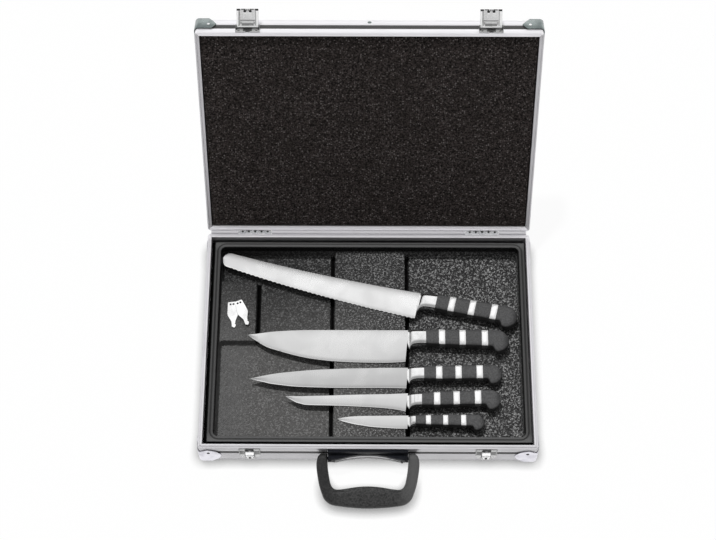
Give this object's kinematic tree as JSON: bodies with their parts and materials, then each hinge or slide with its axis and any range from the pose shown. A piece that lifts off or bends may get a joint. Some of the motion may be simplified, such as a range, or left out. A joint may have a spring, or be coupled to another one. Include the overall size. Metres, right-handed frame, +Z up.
{
  "type": "hard chef knife case",
  "caption": "Hard aluminium-frame knife case with hinged lid, draw latches with locks and a drop handle, open with its chef knives and keys in the fitted tray.",
  "frame": {"origin": "centre of the base panel's underside, with the case's base lying flat", "axes": "+X to the right seen from the front, +Y to the hinges at the back, +Z up out of the base"},
  "size_m": [0.4276, 0.5331, 0.3272],
  "materials": {
    "frame_aluminium": "satin anodised extrusion",
    "dark_band": "satin inlay",
    "panel_sheet": "satin sheet",
    "plated_steel": "bright plated",
    "blade_steel": "fine ground along the blade",
    "ring_steel": "polished",
    "knife_grip": "dark grey moulding, soft gloss",
    "handle_plastic": "satin black moulding",
    "tray_plastic": "fine-grained black sheet",
    "lid_foam": "dark open-cell foam"
  },
  "bodies": {
    "base": {"base_frame": "frame_aluminium", "base_band": "dark_band", "base_panel": "panel_sheet", "base_corner_front_left": "plated_steel", "base_corner_front_right": "plated_steel", "base_corner_back_left": "plated_steel", "base_corner_back_right": "plated_steel", "tray": "tray_plastic", "handle_bracket": "handle_plastic", "hinge_base_left": "plated_steel", "hinge_base_right": "plated_steel", "hinge_pin_left": "plated_steel", "hinge_pin_right": "plated_steel", "catch_left": "plated_steel", "catch_right": "plated_steel"},
    "lid": {"lid_frame": "frame_aluminium", "lid_band": "dark_band", "lid_panel": "panel_sheet", "lid_corner_front_left": "plated_steel", "lid_corner_front_right": "plated_steel", "lid_corner_back_left": "plated_steel", "lid_corner_back_right": "plated_steel", "lid_foam": "lid_foam", "hinge_lid_left": "plated_steel", "hinge_lid_right": "plated_steel", "clasp_bracket_left": "plated_steel", "clasp_bracket_right": "plated_steel"},
    "clasp_left": {"clasp_left": "plated_steel"},
    "clasp_right": {"clasp_right": "plated_steel"},
    "lock_left": {"lock_left": "plated_steel"},
    "lock_right": {"lock_right": "plated_steel"},
    "handle": {"handle": "handle_plastic"},
    "bread_knife": {"bread_knife_steel": "blade_steel", "bread_knife_grip": "knife_grip", "bread_knife_ring_1": "ring_steel", "bread_knife_ring_2": "ring_steel", "bread_knife_ring_3": "ring_steel"},
    "chef_knife": {"chef_knife_steel": "blade_steel", "chef_knife_grip": "knife_grip", "chef_knife_ring_1": "ring_steel", "chef_knife_ring_2": "ring_steel", "chef_knife_ring_3": "ring_steel"},
    "slicing_knife": {"slicing_knife_steel": "blade_steel", "slicing_knife_grip": "knife_grip", "slicing_knife_ring_1": "ring_steel", "slicing_knife_ring_2": "ring_steel", "slicing_knife_ring_3": "ring_steel"},
    "boning_knife": {"boning_knife_steel": "blade_steel", "boning_knife_grip": "knife_grip", "boning_knife_ring_1": "ring_steel", "boning_knife_ring_2": "ring_steel", "boning_knife_ring_3": "ring_steel"},
    "paring_knife": {"paring_knife_steel": "blade_steel", "paring_knife_grip": "knife_grip", "paring_knife_ring_1": "ring_steel", "paring_knife_ring_2": "ring_steel", "paring_knife_ring_3": "ring_steel"},
    "key_left": {"key_left": "plated_steel"},
    "key_right": {"key_right": "plated_steel"}
  },
  "joints": [
    {"name": "lid_hinge", "type": "hinge", "parent": "base", "child": "lid", "pos_m": [0, 0.1525, 0.04115], "axis": [-1, 0, 0], "range_deg": [-115.7, 0]},
    {"name": "clasp_left_pivot", "type": "hinge", "parent": "lid", "child": "clasp_left", "pos_m": [-0.148, 0.2934, 0.31282], "axis": [-1, 0, 0], "range_deg": [-120, 0]},
    {"name": "clasp_right_pivot", "type": "hinge", "parent": "lid", "child": "clasp_right", "pos_m": [0.148, 0.2934, 0.31282], "axis": [-1, 0, 0], "range_deg": [-120, 0]},
    {"name": "lock_left_turn", "type": "hinge", "parent": "base", "child": "lock_left", "pos_m": [-0.148, -0.152, 0.0202], "axis": [0, 1, 0], "range_deg": [0, 90]},
    {"name": "lock_right_turn", "type": "hinge", "parent": "base", "child": "lock_right", "pos_m": [0.148, -0.152, 0.0202], "axis": [0, 1, 0], "range_deg": [0, 90]},
    {"name": "handle_pivot", "type": "hinge", "parent": "base", "child": "handle", "pos_m": [0, -0.1572, 0.024], "axis": [-1, 0, 0], "range_deg": [0, 95]},
    {"name": "bread_knife_lift", "type": "slide", "parent": "base", "child": "bread_knife", "axis": [0, 0, 1], "range_m": [0, 0.12]},
    {"name": "chef_knife_lift", "type": "slide", "parent": "base", "child": "chef_knife", "axis": [0, 0, 1], "range_m": [0, 0.12]},
    {"name": "slicing_knife_lift", "type": "slide", "parent": "base", "child": "slicing_knife", "axis": [0, 0, 1], "range_m": [0, 0.12]},
    {"name": "boning_knife_lift", "type": "slide", "parent": "base", "child": "boning_knife", "axis": [0, 0, 1], "range_m": [0, 0.12]},
    {"name": "paring_knife_lift", "type": "slide", "parent": "base", "child": "paring_knife", "axis": [0, 0, 1], "range_m": [0, 0.12]},
    {"name": "key_left_lift", "type": "slide", "parent": "base", "child": "key_left", "axis": [0, 0, 1], "range_m": [0, 0.12]},
    {"name": "key_right_lift", "type": "slide", "parent": "key_left", "child": "key_right", "axis": [0, 0, 1], "range_m": [0, 0.12]}
  ]
}
